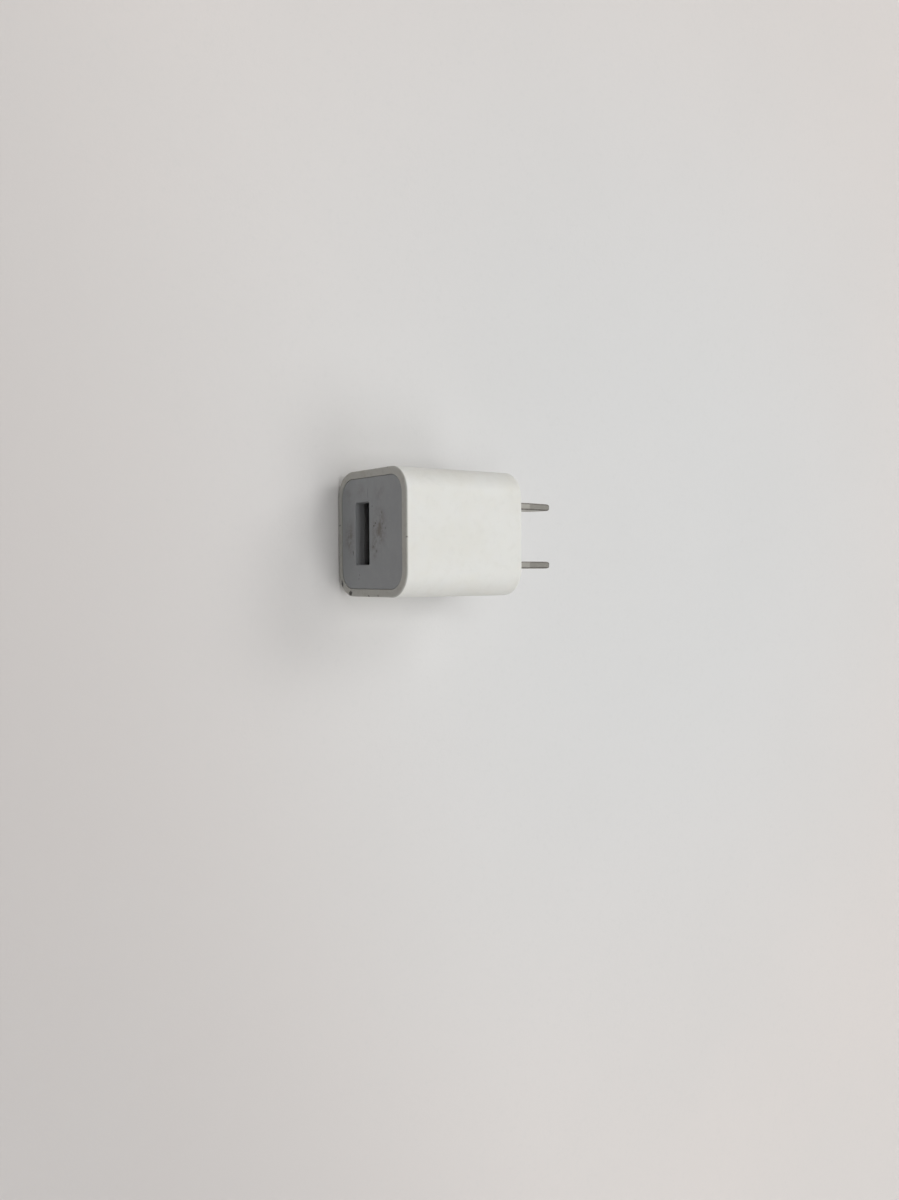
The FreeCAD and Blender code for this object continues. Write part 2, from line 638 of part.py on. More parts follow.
def axial_leads(x):
    """Two leads of an axial part, bent up through the primary board."""
    leads = []
    height = PRIMARY_TOP_Z + LEAD_STICK_OUT - AXIAL_Z
    for way in (-1, 1):
        face = AXIAL_Y + way * AXIAL_LENGTH / 2
        corner = face + way * AXIAL_LEAD_REACH
        stub = rod((x, face, AXIAL_Z), Y_AXIS * way, AXIAL_LEAD_REACH, LEAD_RADIUS)
        ball = Part.makeSphere(LEAD_RADIUS, FreeCAD.Vector(x, corner, AXIAL_Z))
        riser = rod((x, corner, AXIAL_Z), Z_AXIS, height, LEAD_RADIUS)
        leads.append(joined([stub, ball, riser]))
    return leads


def spool(x, core_radius, end_length):
    """Round body along Y with a wider disc at each end."""
    front_y = AXIAL_Y - AXIAL_LENGTH / 2
    pieces = [rod((x, front_y, AXIAL_Z), Y_AXIS, AXIAL_LENGTH, core_radius)]
    for y in (front_y, front_y + AXIAL_LENGTH - end_length):
        pieces.append(rod((x, y, AXIAL_Z), Y_AXIS, end_length, AXIAL_RADIUS))
    return joined(pieces)


def choke_winding():
    """Wire wound on the choke's spool."""
    start = (-AXIAL_X, AXIAL_Y - AXIAL_LENGTH / 2 + SPOOL_END, AXIAL_Z)
    length = AXIAL_LENGTH - 2 * SPOOL_END
    spindle = rod(start, Y_AXIS, length, AXIAL_RADIUS / 2)
    return rod(start, Y_AXIS, length, AXIAL_RADIUS - SPOOL_STEP).cut(spindle)


# ---------------------------------------------------------------- chips


def chip(centre, size, board_z, way, lead_count, lead_width):
    """Moulded chip on a board, with bent leads along its two Y sides.

    The way is +1 on the upper side of a board and -1 on its lower side.
    """
    x, y = centre
    width, depth, height = size
    low_z = board_z + way * CHIP_STANDOFF
    body = box(around(x, width), around(y, depth), (low_z, low_z + way * height))
    body = body.makeChamfer(CHIP_CHAMFER, edges_along(body, Z_AXIS))
    knee_z = low_z + way * height / 2
    leads = []
    for side in (-1, 1):
        near = y + side * depth / 2
        bend = near + side * (CHIP_LEAD_REACH - CHIP_FOOT)
        far = near + side * CHIP_LEAD_REACH
        for place in range(lead_count):
            x_range = around(x + (place - (lead_count - 1) / 2) * width / lead_count, lead_width)
            arm = box(x_range, (near, bend), (knee_z, knee_z + way * CHIP_LEAD_SHEET))
            leg = box(x_range, (bend - side * CHIP_LEAD_SHEET, bend), (board_z, knee_z))
            foot = box(x_range, (bend, far), (board_z, board_z + way * CHIP_LEAD_SHEET))
            leads.append(joined([arm, leg, foot]))
    return body, leads


def block_chip(centre, size, board_z, way):
    """Two-terminal moulded part with an upright terminal at each end."""
    x, y = centre
    width, depth, height = size
    low_z = board_z + way * CHIP_STANDOFF
    body = box(around(x, width), around(y, depth), (low_z, low_z + way * height))
    terminals = []
    for side in (-1, 1):
        near = y + side * depth / 2
        y_range = (near, near + side * CHIP_LEAD_SHEET)
        terminals.append(box(around(x, width / 2), y_range, (board_z, low_z + way * height / 2)))
    return body, terminals


def chip_row(x_start, y, count, pitch, size, board_z, way):
    """Row of small surface-mount parts."""
    width, depth, height = size
    row = []
    for place in range(count):
        x_range = around(x_start + place * pitch, width)
        row.append(box(x_range, around(y, depth), (board_z, board_z + way * height)))
    return row


def y_capacitor():
    """Ceramic disc that bridges the two boards, with one lead up and one down."""
    middle = FreeCAD.Vector(OUTPUT_X, DISC_Y, DISC_Z)
    disc = Part.makeCylinder(DISC_RADIUS, DISC_THICKNESS, middle - Y_AXIS * (DISC_THICKNESS / 2), Y_AXIS)
    rims = [edge for edge in disc.Edges if isinstance(edge.Curve, Part.Circle)]
    disc = disc.makeFillet(DISC_THICKNESS / 3, rims)
    leads = []
    for way, goal in ((1, PRIMARY_TOP_Z + LEAD_STICK_OUT), (-1, SECONDARY_BOTTOM_Z - LEAD_STICK_OUT)):
        start = (OUTPUT_X, DISC_Y, DISC_Z + way * DISC_RADIUS * 0.7)
        leads.append(rod(start, Z_AXIS * way, abs(goal - start[2]), LEAD_RADIUS))
    return minus(disc, leads), leads


# ---------------------------------------------------------------- assembly


def save_case():
    """Shell, face plate, blades, carrier and contact strips."""
    blades = [blade(-1), blade(1)]
    save("housing", housing())
    save("face_plate", face_plate())
    save("blade_carrier", blade_carrier(blades))
    for name, side, piece in zip(("left", "right"), (-1, 1), blades):
        save("blade_" + name, piece)
        save("contact_strip_" + name, contact_strip(side))


def save_usb_socket():
    """USB socket; returns its contacts."""
    contacts = {
        "usb_contact_power": usb_contact(-POWER_CONTACT_X, POWER_CONTACT_Y),
        "usb_contact_data_minus": usb_contact(-DATA_CONTACT_X, DATA_CONTACT_Y),
        "usb_contact_data_plus": usb_contact(DATA_CONTACT_X, DATA_CONTACT_Y),
        "usb_contact_ground": usb_contact(POWER_CONTACT_X, POWER_CONTACT_Y),
    }
    for name, contact in contacts.items():
        save(name, contact)
    save("usb_shell", usb_shell())
    save("usb_insulator", usb_insulator(list(contacts.values())))
    return list(contacts.values())


def save_transformer():
    """Transformer; returns its pins."""
    pins = transformer_pins()
    window = CORE_HEIGHT - 2 * (CORE_YOKE + FLANGE + 2 * BOBBIN_GAP)
    layers = (("primary_winding", PRIMARY_TURNS), ("winding_tape_inner", TAPE),
              ("secondary_winding", SECONDARY_TURNS), ("winding_tape_outer", TAPE))
    offset = BOBBIN_WALL
    for name, thickness in layers:
        save(name, sleeve(offset, offset + thickness, window))
        offset += thickness
    save("transformer_bobbin", bobbin(pins))
    save("transformer_core_upper", core_half(1))
    save("transformer_core_lower", core_half(-1))
    save("transformer_pins", group(pins))
    save("shield_band", shield_band())
    return pins


def save_capacitors():
    """Electrolytic capacitors; returns all their leads."""
    left = bulk_capacitor(-1)
    right = bulk_capacitor(1)
    upright = output_capacitor()
    lying = side_capacitor()
    save("bulk_capacitor_left", left[0])
    save("bulk_capacitor_right", right[0])
    save("output_capacitor_upright", upright[0])
    save("output_capacitor_lying", lying[0])
    save("bulk_capacitor_sleeves", group([left[1], right[1]]))
    save("output_capacitor_sleeves", group([upright[1], lying[1]]))
    save("capacitor_bungs", group([left[2], right[2], upright[2], lying[2]]))
    save("bulk_capacitor_leads", group(left[3] + right[3]))
    save("output_capacitor_leads", group(upright[3] + lying[3]))
    return left[3] + right[3] + upright[3] + lying[3]


def save_axial_parts():
    """Fusible resistor and input choke; returns all their leads."""
    resistor_leads = axial_leads(AXIAL_X)
    choke_leads = axial_leads(-AXIAL_X)
    save("fusible_resistor", spool(AXIAL_X, AXIAL_RADIUS - AXIAL_CAP_STEP, AXIAL_CAP_LENGTH))
    save("fusible_resistor_leads", group(resistor_leads))
    save("choke_core", spool(-AXIAL_X, AXIAL_RADIUS / 2, SPOOL_END))
    save("choke_winding", choke_winding())
    save("choke_leads", group(choke_leads))
    return resistor_leads + choke_leads


def save_chips():
    """Surface-mount parts on both boards."""
    chips = {
        "bridge_rectifier": chip((-4.2, -12.5), RECTIFIER_SIZE, PRIMARY_TOP_Z, 1, 2, 0.7),
        "controller_chip": chip((0, BULK_Y), CONTROLLER_SIZE, PRIMARY_TOP_Z, 1, 4, 0.4),
        "switching_transistor": chip((-6.0, -12.3), TRANSISTOR_SIZE, PRIMARY_BOTTOM_Z, -1, 2, 0.8),
        "optocoupler": chip((9.0, -20.0), COUPLER_SIZE, SECONDARY_TOP_Z, 1, 2, 1.0),
    }
    for name, (body, leads) in chips.items():
        save(name, body)
        save(name + "_leads", group(leads))
    diode, terminals = block_chip((CORE_X, CORE_Y), DIODE_SIZE, SECONDARY_BOTTOM_Z, -1)
    save("output_diode", diode)
    save("output_diode_terminals", group(terminals))
    resistors = chip_row(-8.0, -16.6, 5, 2.4, SMALL_RESISTOR_SIZE, PRIMARY_TOP_Z, 1)
    resistors += chip_row(-6.0, -20.6, 6, 2.4, SMALL_RESISTOR_SIZE, SECONDARY_BOTTOM_Z, -1)
    ceramics = chip_row(-8.0, BULK_Y, 2, 2.6, SMALL_CAPACITOR_SIZE, PRIMARY_TOP_Z, 1)
    ceramics += chip_row(-2.4, -23.0, 3, 2.4, SMALL_CAPACITOR_SIZE, SECONDARY_BOTTOM_Z, -1)
    save("surface_resistors", group(resistors))
    save("surface_capacitors", group(ceramics))


def save_boards(contacts, leads):
    """Both boards with a hole for every lead, and the sheet between them."""
    holes = lead_holes(leads)
    save("primary_board", board(PRIMARY_WIDTH, PRIMARY_BOTTOM_Z, holes))
    save("secondary_board", board(SECONDARY_WIDTH, SECONDARY_BOTTOM_Z, holes + socket_slots(contacts)))
    save("insulating_sheet", insulating_sheet())


def main():
    """Write every node."""
    os.makedirs("parts", exist_ok=True)
    save_case()
    contacts = save_usb_socket()
    save_chips()
    disc, disc_leads = y_capacitor()
    save("y_capacitor", disc)
    save("y_capacitor_leads", group(disc_leads))
    pins = link_pins()
    save("board_link_pins", group(pins))
    leads = save_transformer() + save_capacitors() + save_axial_parts()
    save_boards(contacts, leads + disc_leads + pins)


main()
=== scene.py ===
import json
import math

import bpy
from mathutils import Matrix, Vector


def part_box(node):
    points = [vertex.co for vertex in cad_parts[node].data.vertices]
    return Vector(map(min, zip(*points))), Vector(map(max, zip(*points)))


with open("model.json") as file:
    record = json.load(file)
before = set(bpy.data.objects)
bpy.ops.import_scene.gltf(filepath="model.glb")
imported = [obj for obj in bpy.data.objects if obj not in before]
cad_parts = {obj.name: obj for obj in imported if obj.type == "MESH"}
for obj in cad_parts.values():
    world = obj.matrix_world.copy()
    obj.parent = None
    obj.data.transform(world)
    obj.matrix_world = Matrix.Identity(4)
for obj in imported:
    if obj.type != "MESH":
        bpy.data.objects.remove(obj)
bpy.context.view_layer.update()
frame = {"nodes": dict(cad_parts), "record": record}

MM = 0.001

# Camera, in millimetres and degrees of the row frame: it looks down on the
# USB face and the upper side, with the blades pointing to the right.
CAMERA_PLACE = (8.28, -141.17, 179.49)
CAMERA_TURN = (-1.12, -36.264, 89.561)
CAMERA_SENSOR = 36.0
CAMERA_LENS = 31.904
# Nearest distance that it shows, in metres
CAMERA_CLIP = 0.01

# Softboxes: name, azimuth and tilt in degrees, size in metres, power in watts.
# They stand at one distance in metres from the origin and look at it.
SOFTBOX_DISTANCE = 1.5
SOFTBOXES = (
    ("overhead", 0, 0, 0.8, 10.1),
    ("back_right", 22.5, 35, 0.8, 5.1),
    ("back_left", 135, 50, 0.8, 6.7),
    ("back_panel", 90, 50, 1.6, 2.2),
    ("front_fill", 270, 30, 0.8, 0.6),
)
ROOM_STRENGTH = 0.01

# Floor sheet, in metres: flat part, sweep and height of the upright part
FLOOR_FLAT = 0.7
COVE_RADIUS = 0.35
COVE_HEIGHT = 0.7
COVE_STEPS = 12
COVE_SIDES = 96

# A radius in millimetres that reaches past everything
FAR = 1000.0

# Sizes that the materials need, in millimetres, taken from the frame
HOUSING_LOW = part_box("housing")[0]
FACE_Y = HOUSING_LOW[1] / MM
FLOOR_Z = HOUSING_LOW[2]
PLATE_LOW, PLATE_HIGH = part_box("face_plate")
PLATE_BACK_Y = PLATE_HIGH[1] / MM
PLATE_DEPTH = (PLATE_HIGH[1] - PLATE_LOW[1]) / MM
SHELL_LOW, SHELL_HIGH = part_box("usb_shell")
SHELL_BACK_Y = SHELL_HIGH[1] / MM
SHELL_DEPTH = (SHELL_HIGH[1] - SHELL_LOW[1]) / MM
BLADE_LOW, BLADE_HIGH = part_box("blade_right")
BLADE_TIP_Y = BLADE_HIGH[1] / MM
BLADE_X = (BLADE_LOW[0] + BLADE_HIGH[0]) / 2 / MM
BLADE_HALF_THICKNESS = (BLADE_HIGH[0] - BLADE_LOW[0]) / 2 / MM
# Half of the blade's width in Z, where its taper starts, and what it loses per millimetre of Y
BLADE_HALF_WIDTH = 3.175
TAPER_START = 9.9
TAPER_SLOPE = 0.1515
# How far inside the blade's outline the painted shade of its edges starts and is full, along Z and
# along X
EDGE_START, EDGE_FULL = 0.5, 0.2
SIDE_START, SIDE_FULL = 0.42, 0.16
# How far the darkening reaches from the blade's root and rubbing from its tip
ROOT_REACH = 1.6
TIP_REACH = 8.0

# Grime and painted shade on the face: their strength and depth on the rim, then dark marks as X, Z,
# half width and half height in millimetres and strength; the two long marks along the lower edge at Z
# -12.6 are painted shade where the rim meets the floor
RIM_GRIME_AND_SHADE = 0.7
RIM_REACH = 0.42
RIM_DIRT_AND_SHADE_MARKS = (
    (12.0, -7.9, 1.0, 1.3, 1.0), (10.4, -11.2, 2.2, 0.8, 0.9), (-2.0, -12.0, 0.45, 0.6, 0.9),
    (4.0, -12.6, 7.5, 0.45, 0.8), (-6.0, -12.6, 6.0, 0.4, 0.5), (12.5, -1.0, 0.5, 0.8, 0.6),
    (12.4, 2.5, 0.4, 0.6, 0.5), (-12.6, 6.1, 0.35, 0.5, 0.7), (-12.6, 1.7, 0.3, 0.4, 0.4),
    (1.1, 12.6, 0.4, 0.4, 0.5),
)
PLATE_HAZE = (
    (-1.0, 3.0, 5.5, 3.4, 0.75), (3.2, 1.2, 3.0, 1.8, 0.6), (0.8, -8.2, 5.0, 2.4, 0.7),
    (-7.9, 3.3, 2.2, 2.6, 0.35), (-8.0, -8.6, 2.6, 2.2, 0.3), (-8.6, -3.8, 2.2, 2.2, 0.25),
)
PLATE_MARKS = (
    (-1.9, 1.7, 0.45, 0.35, 0.9), (-1.4, 1.1, 0.4, 0.4, 0.9), (-1.7, 4.1, 0.4, 0.3, 0.7),
    (-5.3, 0.5, 0.45, 0.3, 0.7), (-3.9, 4.0, 0.5, 0.4, 0.5), (2.7, 0.8, 0.7, 0.4, 0.6),
    (3.6, 2.0, 0.6, 0.4, 0.5), (3.8, -6.8, 1.0, 0.35, 0.7), (-0.8, 5.3, 0.5, 0.4, 0.4),
    (8.3, -4.5, 0.3, 0.25, 0.8), (9.1, -4.7, 0.35, 0.3, 0.7), (0.6, -8.5, 0.8, 0.5, 0.4),
)
SCRATCH_CENTRE = (-8.0, FACE_Y, -1.1)
SCRATCH_SIZE = (1.5, 2.0, 0.12)
# A faint gray patch on the upper side near its -X edge, and the heights between which scuffs come in on
# the flanks
GRAY_PATCH_CENTRE = (-10.2, -24.5, 11.4)
GRAY_PATCH_SIZE = (2.2, 5.0, 2.4)
SCUFF_START_Z, SCUFF_FULL_Z = 12.0, 8.0

# Where each tone of the floor paper starts and is full, in millimetres; the shaded tone is painted
# shade in front of the charger
WARM_REACH = (30.0, 190.0)
SHADED_REACH = (10.0, 140.0)
BORDER_REACH = (300.0, 900.0)


class Graph:
    """A procedural material: short calls that add nodes and return sockets.

    Coordinates are millimetres in the row frame.
    """

    def __init__(self, name, color, roughness, metallic=0.0):
        self.material = bpy.data.materials.new(name)
        self.material.use_nodes = True
        self.nodes = self.material.node_tree.nodes
        self.links = self.material.node_tree.links
        self.shader = self.nodes["Principled BSDF"]
        self.shader.inputs["Metallic"].default_value = metallic
        self.shader.inputs["Roughness"].default_value = roughness
        self.shader.inputs["Base Color"].default_value = (*color, 1)
        place = self.nodes.new("ShaderNodeTexCoord").outputs["Object"]
        self.place = self.vector("SCALE", place, scale=1 / MM)
        self.color = color

    def put(self, socket, value):
        """Set a number, vector or colour, or link a socket."""
        if isinstance(value, bpy.types.NodeSocket):
            self.links.new(value, socket)
        elif isinstance(value, tuple) and len(value) == 3 and socket.type == "RGBA":
            socket.default_value = (*value, 1)
        else:
            socket.default_value = value

    def vector(self, operation, first, second=None, scale=None):
        """Vector arithmetic."""
        node = self.nodes.new("ShaderNodeVectorMath")
        node.operation = operation
        self.put(node.inputs[0], first)
        if second is not None:
            self.put(node.inputs[1], second)
        if scale is not None:
            self.put(node.inputs["Scale"], scale)
        return node.outputs["Value" if operation in ("LENGTH", "DOT_PRODUCT") else "Vector"]

    def math(self, operation, first, second=0.0):
        """Arithmetic on numbers, kept between 0 and 1."""
        node = self.nodes.new("ShaderNodeMath")
        node.operation = operation
        node.use_clamp = True
        self.put(node.inputs[0], first)
        self.put(node.inputs[1], second)
        return node.outputs[0]

    def times(self, first, second):
        """Product of two numbers, kept between 0 and 1."""
        return self.math("MULTIPLY", first, second)

    def plus(self, first, second):
        """Sum of two numbers, kept between 0 and 1."""
        return self.math("ADD", first, second)

    def ramp(self, value, start, end, low=0.0, high=1.0):
        """Smooth step of a number between two limits."""
        node = self.nodes.new("ShaderNodeMapRange")
        node.interpolation_type = "SMOOTHSTEP"
        for socket, number in zip(node.inputs, (value, start, end, low, high)):
            self.put(socket, number)
        return node.outputs[0]

    def noise(self, size, detail=3.0, stretch=(1, 1, 1), shift=0.0, rough=0.55):
        """Noise whose features are about the given size in millimetres."""
        node = self.nodes.new("ShaderNodeTexNoise")
        place = self.vector("MULTIPLY", self.place, tuple(1 / value for value in stretch))
        self.put(node.inputs["Vector"], self.vector("ADD", place, (shift, shift, shift)))
        self.put(node.inputs["Scale"], 1 / size)
        self.put(node.inputs["Detail"], detail)
        self.put(node.inputs["Roughness"], rough)
        return node.outputs["Fac"]

    def cells(self, size, shift=0.0, stretch=(1, 1, 1)):
        """Distance to the nearest of scattered points, in cell sizes."""
        node = self.nodes.new("ShaderNodeTexVoronoi")
        place = self.vector("MULTIPLY", self.place, tuple(1 / value for value in stretch))
        self.put(node.inputs["Vector"], self.vector("ADD", place, (shift, shift, shift)))
        self.put(node.inputs["Scale"], 1 / size)
        return node.outputs["Distance"]

    def near(self, centre, radii, soft=1.0):
        """1 at a place, falling to 0 at the given radii."""
        offset = self.vector("SUBTRACT", self.place, centre)
        scaled = self.vector("MULTIPLY", offset, tuple(1 / value for value in radii))
        return self.ramp(self.vector("LENGTH", scaled), 1.0, 1.0 - soft)

    def ragged_spot(self, centre, radii, grain, shift=0.0):
        """A spot that breaks up into specks towards its border."""
        spot = self.times(self.near(centre, radii), 0.5)
        ragged = self.noise(grain, 6.0, shift=shift, rough=0.8)
        return self.ramp(self.plus(spot, ragged), 0.70, 0.90)

    def mix(self, factor, first, second):
        """Blend of two colours."""
        node = self.nodes.new("ShaderNodeMix")
        node.data_type = "RGBA"
        colors = [socket for socket in node.inputs if socket.type == "RGBA"]
        self.put(node.inputs["Factor"], factor)
        self.put(colors[0], first)
        self.put(colors[1], second)
        return [socket for socket in node.outputs if socket.type == "RGBA"][0]

    def paint(self, factor, color):
        """Lay a colour over what the material has so far."""
        self.color = self.mix(factor, self.color, color)
        self.put(self.shader.inputs["Base Color"], self.color)

    def roughen(self, factor, low, high):
        """Roughness between two values."""
        self.put(self.shader.inputs["Roughness"], self.ramp(factor, 0.0, 1.0, low, high))

    def bump(self, height, distance):
        """Relief of the given depth in millimetres, over any earlier relief."""
        node = self.nodes.new("ShaderNodeBump")
        self.put(node.inputs["Strength"], 1.0)
        self.put(node.inputs["Distance"], distance * MM)
        self.put(node.inputs["Height"], height)
        normal = self.shader.inputs["Normal"]
        if normal.is_linked:
            self.put(node.inputs["Normal"], normal.links[0].from_socket)
        self.put(normal, node.outputs[0])


def scratches(graph, size, length, shift, low=0.66, high=0.70):
    """Thin lines: noise stretched along one direction and cut near its top."""
    return graph.ramp(graph.noise(size, 2.0, length, shift), low, high)


# ---------------------------------------------------------------- materials


def white_shell():
    """Satin white polycarbonate, a little yellowed, with handling marks and painted shade on the face
    rim.
    """
    yellowed, aged = (0.79, 0.785, 0.735), (0.70, 0.69, 0.64)
    grime_and_shade, blotch_brown, dirt_and_shade = (0.265, 0.262, 0.240), (0.26, 0.23, 0.19), (0.03, 0.027, 0.022)
    patch_gray, scuff_gray = (0.46, 0.45, 0.42), (0.52, 0.51, 0.48)
    g = Graph("white_shell", (0.81, 0.81, 0.775), 0.5)
    g.shader.inputs["Subsurface Weight"].default_value = 0.15
    g.shader.inputs["Subsurface Radius"].default_value = (1.2 * MM, 1.0 * MM, 0.8 * MM)
    g.shader.inputs["Subsurface Scale"].default_value = 1.0
    g.paint(g.ramp(g.noise(9.0, 2.0), 0.35, 0.75), yellowed)
    g.paint(g.ramp(g.noise(1.6, 6.0, shift=7.0), 0.45, 0.80, 0, 0.25), aged)
    # grime and painted shade on the rim round the face plate
    rim = g.near((0, FACE_Y, 0), (FAR, RIM_REACH, FAR), 0.7)
    g.paint(g.times(rim, RIM_GRIME_AND_SHADE), grime_and_shade)
    blotch = g.times(rim, g.ramp(g.noise(1.1, 6.0, shift=3.0), 0.50, 0.75))
    g.paint(g.times(blotch, 0.3), blotch_brown)
    # dark marks: dirt, and painted shade along the lower edge where it meets the floor
    for x, z, width, height, strength in RIM_DIRT_AND_SHADE_MARKS:
        spot = g.ragged_spot((x, FACE_Y, z), (width, 1.0, height), 0.4, 11.0 + x)
        g.paint(g.times(spot, strength), dirt_and_shade)
    # a faint gray patch near the -X edge of the upper side
    gray_patch = g.near(GRAY_PATCH_CENTRE, GRAY_PATCH_SIZE, 0.9)
    gray_patch = g.times(gray_patch, g.ramp(g.noise(1.1, 4.0, shift=1.0), 0.35, 0.70))
    g.paint(g.times(gray_patch, 0.12), patch_gray)
    # gray scuffs, on the sides more than on the upper face
    flank = g.ramp(g.vector("DOT_PRODUCT", g.place, (0, 0, 1)), SCUFF_START_Z, SCUFF_FULL_Z, 0.15, 1.0)
    scuff = g.times(g.ramp(g.noise(3.2, 3.0, (1, 2.5, 1), 21.0), 0.56, 0.70), flank)
    scuff = g.times(scuff, g.ramp(g.noise(0.3, 4.0, (1, 3, 1), 5.0), 0.45, 0.65))
    g.paint(g.times(scuff, 0.35), scuff_gray)
    # scratches along and across the sides, seen mostly in the gloss
    fine = scratches(g, 0.22, (1, 26, 1), 2.0)
    cross = scratches(g, 0.26, (22, 1, 22), 9.0)
    lines = g.math("MAXIMUM", fine, cross)
    g.roughen(g.plus(g.times(lines, 0.5), g.times(g.noise(1.8, 4.0, shift=4.0), 0.6)), 0.42, 0.66)
    g.bump(g.noise(0.35, 3.0, shift=13.0), 0.006)
    g.bump(lines, -0.003)
    return g.material


def gray_plate():
    """Gray plate with a fine spark-eroded grain, scuffed and stained round the port."""
    darker, painted_light_gray = (0.26, 0.27, 0.282), (0.40, 0.41, 0.42)
    haze_brown, speck_brown = (0.135, 0.112, 0.095), (0.045, 0.038, 0.032)
    scratch_dark, scratch_pale = (0.12, 0.12, 0.12), (0.43, 0.44, 0.45)
    g = Graph("gray_plate", (0.28, 0.292, 0.304), 0.5)
    g.paint(g.ramp(g.noise(6.0, 2.0, shift=2.0), 0.35, 0.75, 0, 0.6), darker)
    # painted light: the walls of the opening are painted paler than the face
    g.paint(g.near((0, PLATE_BACK_Y, 0), (FAR, PLATE_DEPTH, FAR), 0.15), painted_light_gray)
    haze = g.ramp(g.noise(1.7, 6.0, shift=6.0, rough=0.65), 0.36, 0.62)
    for x, z, width, height, strength in PLATE_HAZE:
        patch = g.times(g.near((x, FACE_Y, z), (width, 3, height), 0.9), haze)
        g.paint(g.times(patch, strength), haze_brown)
    for x, z, width, height, strength in PLATE_MARKS:
        mark = g.ragged_spot((x, FACE_Y, z), (width, 2, height), 0.22, 3.0 * x)
        g.paint(g.times(mark, strength), speck_brown)
    g.paint(g.times(g.near(SCRATCH_CENTRE, SCRATCH_SIZE, 0.5), 0.7), scratch_dark)
    # hairlines in patches, both ways
    flat = scratches(g, 0.16, (18, 1, 1), 5.0)
    steep = scratches(g, 0.16, (1, 1, 14), 8.0)
    lines = g.times(g.math("MAXIMUM", flat, steep), g.ramp(g.noise(4.0, 2.0, shift=9.0), 0.4, 0.6))
    g.paint(g.times(lines, 0.18), scratch_pale)
    g.roughen(g.plus(g.times(haze, 0.4), g.times(g.noise(0.8, 3.0), 0.5)), 0.40, 0.66)
    g.bump(g.noise(0.09, 2.0, shift=3.0), 0.006)
    g.bump(lines, -0.004)
    return g.material


def blade_border(g):
    """1 on the rounded edges along both broad faces of a blade and round its nose."""
    sideways = g.vector("ABSOLUTE", g.vector("MULTIPLY", g.place, (1, 0, 1)))
    along = g.vector("MULTIPLY", g.place, (0, 1, 0))
    height = g.vector("DOT_PRODUCT", sideways, (0, 0, 1))
    level = g.ramp(height, BLADE_HALF_WIDTH - EDGE_START, BLADE_HALF_WIDTH - EDGE_FULL)
    taper = g.vector("DOT_PRODUCT", g.vector("ADD", sideways, along), (0, TAPER_SLOPE, 1))
    taper_edge = BLADE_HALF_WIDTH + TAPER_SLOPE * TAPER_START
    border = g.math("MAXIMUM", level, g.ramp(taper, taper_edge - EDGE_START, taper_edge - EDGE_FULL))
    nose_start = (0, BLADE_TIP_Y - BLADE_HALF_THICKNESS, 0)
    beyond = g.vector("MAXIMUM", g.vector("SUBTRACT", along, nose_start), (0, 0, 0))
    across = g.vector("MULTIPLY", g.vector("SUBTRACT", sideways, (BLADE_X, 0, 0)), (1, 0, 0))
    from_middle = g.vector("LENGTH", g.vector("ADD", beyond, across))
    outer = g.ramp(from_middle, BLADE_HALF_THICKNESS - SIDE_START, BLADE_HALF_THICKNESS - SIDE_FULL)
    return g.times(border, outer)


def blade_plating():
    """Nickel plate, brushed along the blade and rubbed by outlet contacts."""
    brushed, tarnished, root_dark = (0.46, 0.44, 0.40), (0.38, 0.35, 0.30), (0.28, 0.26, 0.22)
    bright, edge_shade = (0.68, 0.66, 0.62), (0.15, 0.14, 0.125)
    g = Graph("blade_plating", (0.51, 0.495, 0.455), 0.34, 1.0)
    grain = g.noise(0.10, 3.0, (1, 28, 1), 1.0)
    g.paint(g.ramp(grain, 0.35, 0.70, 0, 0.4), brushed)
    tarnish = g.ramp(g.noise(2.4, 4.0, (1, 1.6, 1), 4.0), 0.50, 0.80)
    g.paint(g.times(tarnish, 0.4), tarnished)
    # darker towards the blade's root
    root = g.near((0, 0, 0), (FAR, ROOT_REACH, FAR), 0.9)
    g.paint(g.times(root, 0.4), root_dark)
    rubbed = scratches(g, 0.16, (1, 20, 1), 7.0, 0.60, 0.66)
    tip = g.near((0, BLADE_TIP_Y, 0), (FAR, TIP_REACH, FAR), 0.7)
    rubbed = g.times(rubbed, g.plus(tip, 0.3))
    g.paint(g.times(rubbed, 0.5), bright)
    # painted shade on the coined edges and round the nose
    uneven = g.ramp(g.noise(0.6, 4.0, shift=6.0), 0.25, 0.55, 0.5, 1.0)
    g.paint(g.times(g.times(blade_border(g), uneven), 0.75), edge_shade)
    g.roughen(g.plus(g.times(grain, 0.5), g.times(tarnish, 0.4)), 0.38, 0.58)
    g.bump(grain, 0.004)
    g.bump(rubbed, -0.003)
    return g.material


def port_steel():
    """Tinned steel sheet of the port, with draw lines and plug marks."""
    draw_line, dull_gray, bright = (0.42, 0.43, 0.44), (0.34, 0.33, 0.32), (0.66, 0.66, 0.65)
    depth_shade = (0.10, 0.10, 0.10)
    g = Graph("port_steel", (0.50, 0.505, 0.51), 0.34, 1.0)
    drawn = g.noise(0.12, 3.0, (1, 22, 1), 2.0)
    g.paint(g.ramp(drawn, 0.4, 0.7, 0, 0.3), draw_line)
    dull = g.ramp(g.noise(2.4, 4.0, shift=5.0), 0.45, 0.80)
    g.paint(g.times(dull, 0.3), dull_gray)
    rubbed = scratches(g, 0.14, (1, 16, 1), 6.0, 0.62, 0.68)
    g.paint(g.times(rubbed, 0.3), bright)
    # painted shade, darker towards the back of the socket
    deep = g.near((0, SHELL_BACK_Y, 0), (FAR, SHELL_DEPTH, FAR), 0.25)
    g.paint(g.times(deep, 0.9), depth_shade)
    g.roughen(g.plus(g.times(drawn, 0.5), g.times(dull, 0.4)), 0.30, 0.50)
    g.bump(drawn, 0.003)
    return g.material


